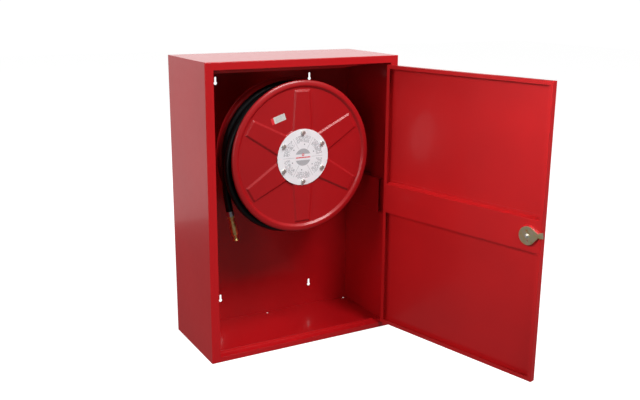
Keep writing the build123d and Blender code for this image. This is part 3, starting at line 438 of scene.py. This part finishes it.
disc_tree, given = new_tree("pressed_disc", {
    "Side": -1.0, "Field Y": 0.0, "Axis X": 0.0, "Axis Z": 0.0, "Hole": 0.0, "Sheet": 0.0015, "Rise": 0.005,
    "Hub radius": 0.098, "Hub slope": 0.006, "Rib end": 0.238, "Rib half width": 0.041, "Rib taper": 0.0665,
    "Rib flank": 0.0056, "Rim start": 0.2462, "Rim slope": 0.95, "Crest circle": 0.2535,
    "Crest width": 0.0185, "Crown": 0.0068, "Bead": 0.0025, "Bead circle": 0.27})
rise, side, slope = given.beside("Rise"), given.beside("Side"), given.beside("Hub slope")
flank, rib_end = given.beside("Rib flank"), given.beside("Rib end")
ring_spans = [(6, 0.0940), (14, 0.1100), (12, 0.2260), (24, 0.2462), (32, 0.2712)]
rings = sum(count for count, reach in ring_spans)
columns = 240
grid = given.node("GeometryNodeMeshGrid", values={
    "Size X": 1.0, "Size Y": 1.0, "Vertices X": rings + 1, "Vertices Y": columns + 1}, out="Mesh")
place = grid.node("ShaderNodeSeparateXYZ", values=[grid.node("GeometryNodeInputPosition")])
out_share, round_share = place + 0.5, place.beside("Y") + 0.5
radius, done, reached = given.beside("Hole"), 0, given.beside("Hole")
for count, reach in ring_spans:
    share = fade(out_share, done / rings, (done + count) / rings)
    radius, done, reached = radius + share * (reach - reached), done + count, reach
sector = round_share * 6
middle = sector.maths("ROUND", sector)
off_middle = (sector - middle) * 2
way = off_middle.maths("ABSOLUTE", off_middle)
hand = off_middle.maths("SIGN", off_middle)
on_top, past_flank, margin = 0.35, 0.75, 0.002
half_base = given.beside("Rib half width") - (radius - 0.08) * given.beside("Rib taper")
corner = half_base.maths("MINIMUM", half_base + margin, radius * sin(radians(25)))
shrink = corner / (half_base + margin)
lateral = (fade(way, 0, on_top) * (half_base - flank - margin)
           + fade(way, on_top, past_flank) * (flank + 2 * margin)) * shrink
roundness = 1 - fade(radius, 0.104, 0.132) + fade(radius, 0.2405, 0.2462)
bulge = roundness * (lateral * lateral) + (1 - roundness) * (corner * corner)
along_rib = bulge.maths("SQRT", bulge.maths("MAXIMUM", radius * radius - bulge, 0.0))
corner_angle = corner.maths("ARCSINE", corner / (radius + 1e-9))
field_angle = corner_angle + fade(way, past_flank, 1.0) * (pi / 6 - corner_angle)
outside = way > past_flank + 0.001
x_local = outside * (radius * field_angle.maths("COSINE", field_angle)) + (1 - outside) * along_rib
y_local = outside * (radius * field_angle.maths("SINE", field_angle)) + (1 - outside) * lateral
reach = x_local.maths("SQRT", x_local * x_local + y_local * y_local)
rib_side = given.beside("Rib half width") - (x_local - 0.08) * given.beside("Rib taper") - y_local
rib_inside = rib_side.maths("SMOOTH_MIN", rib_side, rib_end - x_local, 0.003)
hub_inside = (given.beside("Hub radius") + slope - reach) * (rise / slope)
pressing = rib_inside.maths("SMOOTH_MAX", rib_inside * (rise / flank), hub_inside, 0.0015)
pressing = pressing.maths("SMOOTH_MIN", pressing, rise, 0.0014)
pressing = pressing.maths("SMOOTH_MAX", pressing, 0.0, 0.0014)
over = (reach - given.beside("Crest circle")) / given.beside("Crest width")
over = over.maths("MAXIMUM", over, 0.0)
fall = over.maths("SQRT", over.maths("MAXIMUM", 1 - over * over, 0.0)) * given.beside("Crown")
climb = (reach - given.beside("Rim start")) * given.beside("Rim slope")
rim = climb.maths("SMOOTH_MIN", climb, fall, 0.004)
height = rim.maths("SMOOTH_MAX", pressing, rim, 0.0018)
turn = (middle + 1.5) * (pi / 3)
signed = y_local * hand
cosine, sine = turn.maths("COSINE", turn), turn.maths("SINE", turn)
across = (cosine * x_local - sine * signed) * (0 - side)
up = sine * x_local + cosine * signed
inner_face = grid.node("GeometryNodeSetPosition", values={
    "Geometry": grid,
    "Position": grid.node("ShaderNodeCombineXYZ", values=[
        across + given.beside("Axis X"),
        given.beside("Field Y") + side * height,
        up + given.beside("Axis Z")])})
same_place = 0.00002
inner_face = inner_face.node("GeometryNodeMergeByDistance", values={
    "Geometry": inner_face, "Distance": same_place})
outer_skin = inner_face.node("GeometryNodeExtrudeMesh", {"mode": "FACES"}, {
    "Mesh": inner_face,
    "Offset": side.node("ShaderNodeCombineXYZ", values=[0.0, side, 0.0]),
    "Offset Scale": given.beside("Sheet"),
    "Individual": False}, out="Mesh")
inner_skin = inner_face.node("GeometryNodeFlipFaces", values=[inner_face])
sheet = outer_skin.node("GeometryNodeJoinGeometry")
for skin in (outer_skin, inner_skin):
    sheet.tree.links.new(skin.socket, sheet.socket.node.inputs[0])
sheet = sheet.node("GeometryNodeMergeByDistance", values={
    "Geometry": sheet, "Distance": same_place})
bead_line = given.node("GeometryNodeCurvePrimitiveCircle", values={
    "Resolution": columns, "Radius": given.beside("Bead circle")})
bead_round = given.node("GeometryNodeCurvePrimitiveCircle", values={
    "Resolution": 16, "Radius": given.beside("Bead")})
bead = bead_line.node("GeometryNodeCurveToMesh", values={"Curve": bead_line, "Profile Curve": bead_round})
bead = bead.node("GeometryNodeTransform", values={
    "Geometry": bead, "Rotation": (radians(90), 0, 0),
    "Translation": given.node("ShaderNodeCombineXYZ", values=[
        given.beside("Axis X"), given.beside("Field Y") + side * 0.0004, given.beside("Axis Z")])})
whole = sheet.node("GeometryNodeJoinGeometry")
for part in (sheet, bead):
    whole.tree.links.new(part.socket, whole.socket.node.inputs[0])
close_tree(whole, given.beside("Finish"))

rear_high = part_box("rear_disc")[1]
disc_crown, disc_sheet = 0.007, 0.0015
on_axis = {"Axis X": reel_x, "Axis Z": reel_z}
discs = {
    "front": run_tree("front_pressing", disc_tree, {
        "Side": -1.0, "Field Y": disc_low.y + disc_crown + disc_sheet, **on_axis}, reel_red_painted_shade),
    "rear": run_tree("rear_pressing", disc_tree, {
        "Side": 1.0, "Field Y": rear_high.y - disc_crown - disc_sheet, "Hole": 0.0252,
        **on_axis}, reel_red_painted_shade)}
for end, disc in discs.items():
    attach(disc, "reel")
    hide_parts(end + "_disc")

# --- Label plate ----------------------------------------------------------
# White printed plate held under the six bolt heads. Its print is plain lines,
# panels and dots in grey, with a red ring and bar in the middle.


def band(value, low, high, soft=0.0004):
    """1 between low and high, with soft edges."""
    return fade(value, low - soft, low + soft) * (1 - fade(value, high - soft, high + soft))


label_print, shader, where = blank_finish("label_print", {"Specular IOR Level": 0.5, "Coat Weight": 0.2,
                                                          "Coat Roughness": 0.1})
axes = where.node("ShaderNodeSeparateXYZ", values=[where])
right, above = axes - reel_x, axes.beside("Z") - reel_z
out = right.maths("SQRT", right * right + above * above)
bearing = above.maths("ARCTAN2", above, right) * (3 / pi) + 0.5
whole_sector = bearing.maths("ROUND", bearing)
in_sector = bearing - whole_sector
edge_of_sector = 0.5 - in_sector.maths("ABSOLUTE", in_sector)
rows = out * 280
row_number = rows.maths("FLOOR", rows)
row_ink = band(rows - row_number, 0.25, 0.62, 0.12) * band(out, 0.0545, 0.0785)
words = row_number.node("ShaderNodeCombineXYZ", values=[
    in_sector * (out * 330), row_number * 3.7, whole_sector * 9.1])
broken = words.node("ShaderNodeTexNoise", values={"Vector": words, "Scale": 1.0, "Detail": 0.0})
row_ink = row_ink * (broken > 0.44) * band(edge_of_sector, 0.10, 0.6, 0.01)
sector_line = band(out, 0.034, 0.079) * (1 - fade(edge_of_sector * out, 0.0002, 0.0006))
upright = band(right, -0.030, 0.030) * band(out, 0.009, 0.031)
teeth = in_sector * 7
fan = upright * (band(teeth - teeth.maths("ROUND", teeth), -0.25, 0.25, 0.08) * 0.5 + 0.5) * band(
    above.maths("ABSOLUTE", above), 0.011, 0.04)
dot_x = (in_sector + 0.12) * out * (pi / 3)
dot = 1 - fade(dot_x * dot_x + (out - 0.046) * (out - 0.046), 3e-6, 6e-6)
ink = row_ink.maths("MAXIMUM", row_ink * 0.95, sector_line * 0.8)
ink = ink.maths("MAXIMUM", ink, fan * 0.7)
ink = ink.maths("MAXIMUM", ink, dot * 0.9)
lifted = above - 0.0085
mark_out = lifted.maths("SQRT", lifted * lifted + right * right)
dash = right * 160
red_ring = band(mark_out, 0.0022, 0.0048)
red_mark = red_ring.maths(
    "MAXIMUM", red_ring,
    band(right, -0.029, 0.029) * band(above, -0.0035, 0.0010) * band(
        dash - dash.maths("FLOOR", dash), 0.12, 0.98, 0.06))
aged = grain(where, 40, 3)
paper = tint(fade(aged, 0.3, 0.8), (0.90, 0.90, 0.92, 1), (0.84, 0.84, 0.87, 1))
printed = tint(ink, paper, (0.07, 0.08, 0.10, 1))
printed = tint(red_mark, printed, (0.72, 0.03, 0.05, 1))
into(shader, printed, 0.3 + 0.1 * aged, grain(where, 600, 1) - 0.3 * ink, 0.00005, 0.3, 0.0004)
dress(label_print, "label_plate")

# --- Inspection sticker -----------------------------------------------------
# A vinyl sticker on the front disc's upper left, white with rows of grey print
# and a red end.
sticker_centre = Vector((-0.094, 0.141))
sticker_turn = radians(17.5)
vinyl, shader, where = blank_finish("sticker_vinyl", {"Specular IOR Level": 0.5})
axes = where.node("ShaderNodeSeparateXYZ", values=[where])
right = axes - (reel_x + sticker_centre.x)
above = axes.beside("Z") - (reel_z + sticker_centre.y)
long_way = right * cos(sticker_turn) + above * sin(sticker_turn)
short_way = above * cos(sticker_turn) - right * sin(sticker_turn)
lines = short_way * 300
line_ink = band(lines - lines.maths("FLOOR", lines), 0.3, 0.7, 0.12)
gaps = long_way.node("ShaderNodeCombineXYZ", values=[
    long_way * 420, lines.maths("FLOOR", lines) * 5.3, 0.0])
worn = gaps.node("ShaderNodeTexNoise", values={"Vector": gaps, "Scale": 1.0, "Detail": 0.0})
line_ink = line_ink * (worn > 0.45)
line_ink = line_ink * band(long_way, -0.013, 0.025) * band(short_way, -0.009, 0.009)
ground = tint(line_ink * 0.5, (0.70, 0.70, 0.66, 1), (0.16, 0.17, 0.20, 1))
coloured = tint(1 - fade(long_way, -0.0178, -0.0172), ground, (0.80, 0.03, 0.04, 1))
into(shader, coloured, 0.35 + 0.1 * grain(where, 90, 2), grain(where, 500, 1), 0.00004, 0.3)
dress(vinyl, "disc_sticker")

# --- Hub, bushes and valve ----------------------------------------------------
# Cast aluminium hub on brass bushes, and a nickel-plated brass ball valve behind
# the reel with a plated lever in a red plastic sleeve.
aluminium, shader, where = blank_finish("aluminium", {"Metallic": 1.0})
skin = grain(where, 210, 3)
pull = grain(where, 70, 2, (1, 1, 0.12))
into(shader, tint(fade(skin, 0.3, 0.7), (0.68, 0.70, 0.73, 1), (0.50, 0.52, 0.55, 1)),
     0.24 + 0.2 * skin, skin + pull, 0.00012, 0.5, 0.0004)
dress(aluminium, "hub", "outlet_ferrule", "tail_ferrule")

nickel, shader, where = blank_finish("nickel_brass", {"Metallic": 1.0})
cast = grain(where, 240, 3)
into(shader, tint(fade(cast, 0.3, 0.75), (0.66, 0.62, 0.54, 1), (0.50, 0.47, 0.41, 1)),
     0.22 + 0.22 * cast, cast, 0.0001, 0.5, 0.0006)
dress(nickel, "valve_body", "packing_nut", "valve_ball")

red_plastic, shader, where = blank_finish("lever_sleeve", {"Specular IOR Level": 0.45})
dip = grain(where, 60, 3)
into(shader, tint(fade(dip, 0.3, 0.7), (0.52, 0.010, 0.012, 1), (0.42, 0.008, 0.010, 1)),
     0.36 + 0.14 * dip, grain(where, 300, 2), 0.0001, 0.3, 0.0006)
dress(red_plastic, "lever_grip")

seat_white, shader, where = blank_finish("seat_white", {"Specular IOR Level": 0.4})
waxy = grain(where, 150, 2)
into(shader, tint(waxy, (0.80, 0.80, 0.78, 1), (0.72, 0.72, 0.69, 1)),
     0.4 + 0.1 * waxy, waxy, 0.00005, 0.3)
dress(seat_white, "valve_seats")

seal_rubber, shader, where = blank_finish("seal_rubber", {"Specular IOR Level": 0.4})
matt = grain(where, 300, 2)
into(shader, tint(matt, (0.010, 0.010, 0.010, 1), (0.020, 0.020, 0.021, 1)),
     0.45 + 0.15 * matt, matt, 0.00005, 0.4)
dress(seal_rubber, "spindle_seals", "nozzle_seal")

# --- Nozzle -----------------------------------------------------------------
# Turned brass: a collar in the crimped ferrule, a barrel that twists to open the
# jet, and a flared tip. Handling has dulled it between the bright turned rings.
brass, shader, where = blank_finish("turned_brass", {"Metallic": 1.0})
axis_start = Vector((-0.2378, tail_lane, 0.5070))
axis_aim = Vector((0.19836, 0, -0.98013))
axes = where.node("ShaderNodeSeparateXYZ", values=[where])
length_way = (axes - axis_start.x) * axis_aim.x + (axes.beside("Z") - axis_start.z) * axis_aim.z
rings = length_way.node("ShaderNodeCombineXYZ", values=[length_way * 900, 0.0, 0.0])
tool_marks = rings.node("ShaderNodeTexNoise", values={"Vector": rings, "Scale": 1.0, "Detail": 2.0})
handled = grain(where, 75, 4)
into(shader, tint(fade(handled, 0.38, 0.68), (0.98, 0.72, 0.30, 1), (0.66, 0.44, 0.16, 1)),
     0.26 + 0.20 * handled + 0.06 * tool_marks, tool_marks, 0.00006, 0.7, 0.0003)
dress(brass, "nozzle_body", "nozzle_barrel", "nozzle_tip", "hub_bushes")

# --- Floor and lights -------------------------------------------------------
# A plain white floor that glows a little, as a lit white sweep does. Soft lights
# stand high in front, on the left and before the door's free edge, and white ones
# behind and beside give the glossy top and side their sheen.
floor_sheet = bpy.data.meshes.new("floor")
floor_half = 14
floor_sheet.from_pydata(
    [(-floor_half, -floor_half, 0), (floor_half, -floor_half, 0),
     (floor_half, floor_half, 0), (-floor_half, floor_half, 0)], [], [(0, 1, 2, 3)])
studio_floor = bpy.data.objects.new("floor", floor_sheet)
scene.collection.objects.link(studio_floor)
floor_paint, shader, where = blank_finish("floor_paint", {
    "Specular IOR Level": 0.1, "Emission Color": (1, 1, 1, 1), "Emission Strength": 0.93})
into(shader, tint(grain(where, 1.5, 2), (0.40, 0.40, 0.40, 1), (0.37, 0.37, 0.37, 1)),
     0.6 + 0.1 * grain(where, 4, 2))
floor_sheet.materials.append(floor_paint)
studio_floor.visible_glossy = False
studio_floor.visible_diffuse = False


def soft_light(name, place, aim, size, power, spread=180):
    """A rectangular soft light at place that looks at aim, its beam spread degrees wide."""
    lamp = bpy.data.lights.new(name, "AREA")
    lamp.shape = "RECTANGLE"
    lamp.size, lamp.size_y = size
    lamp.energy = power
    lamp.spread = radians(spread)
    light = bpy.data.objects.new(name, lamp)
    light.location = place
    light.rotation_euler = (Vector(aim) - Vector(place)).to_track_quat("-Z", "Y").to_euler()
    light.visible_camera = False
    scene.collection.objects.link(light)


soft_light("front_high", (1.0, -3.3, 4.5), (0, 0, 0.6), (2.4, 2.4), 268)
soft_light("left", (-5.0, -0.7, 2.8), (0.2, -0.4, 0.7), (2.4, 2.2), 132)
soft_light("front_left_strip", (-3.4, -3.6, 1.5), (0, 0, 0.7), (0.9, 2.2), 26)
soft_light("door_beam", (-0.9, -1.5, 1.5), (0.55, -0.95, 0.86), (0.3, 0.3), 1.6, 52)
soft_light("behind", (0.0, 4.6, 2.5), (0, 0, 2.5), (10.0, 3.0), 104)
soft_light("side_card", (-1.45, 1.6, 0.6), (-1.45, 0, 0.6), (1.7, 1.2), 3.4)

world = bpy.data.worlds.new("studio")
scene.world = world
world.use_nodes = True
sky = world.node_tree.nodes["Background"]
sky.inputs["Color"].default_value = (1, 1, 1, 1)
dim, seen_extra = 0.14, 0.91
seen = Wire(world.node_tree).node("ShaderNodeLightPath", out="Is Camera Ray")
world.node_tree.links.new((dim + seen_extra * seen).socket, sky.inputs["Strength"])
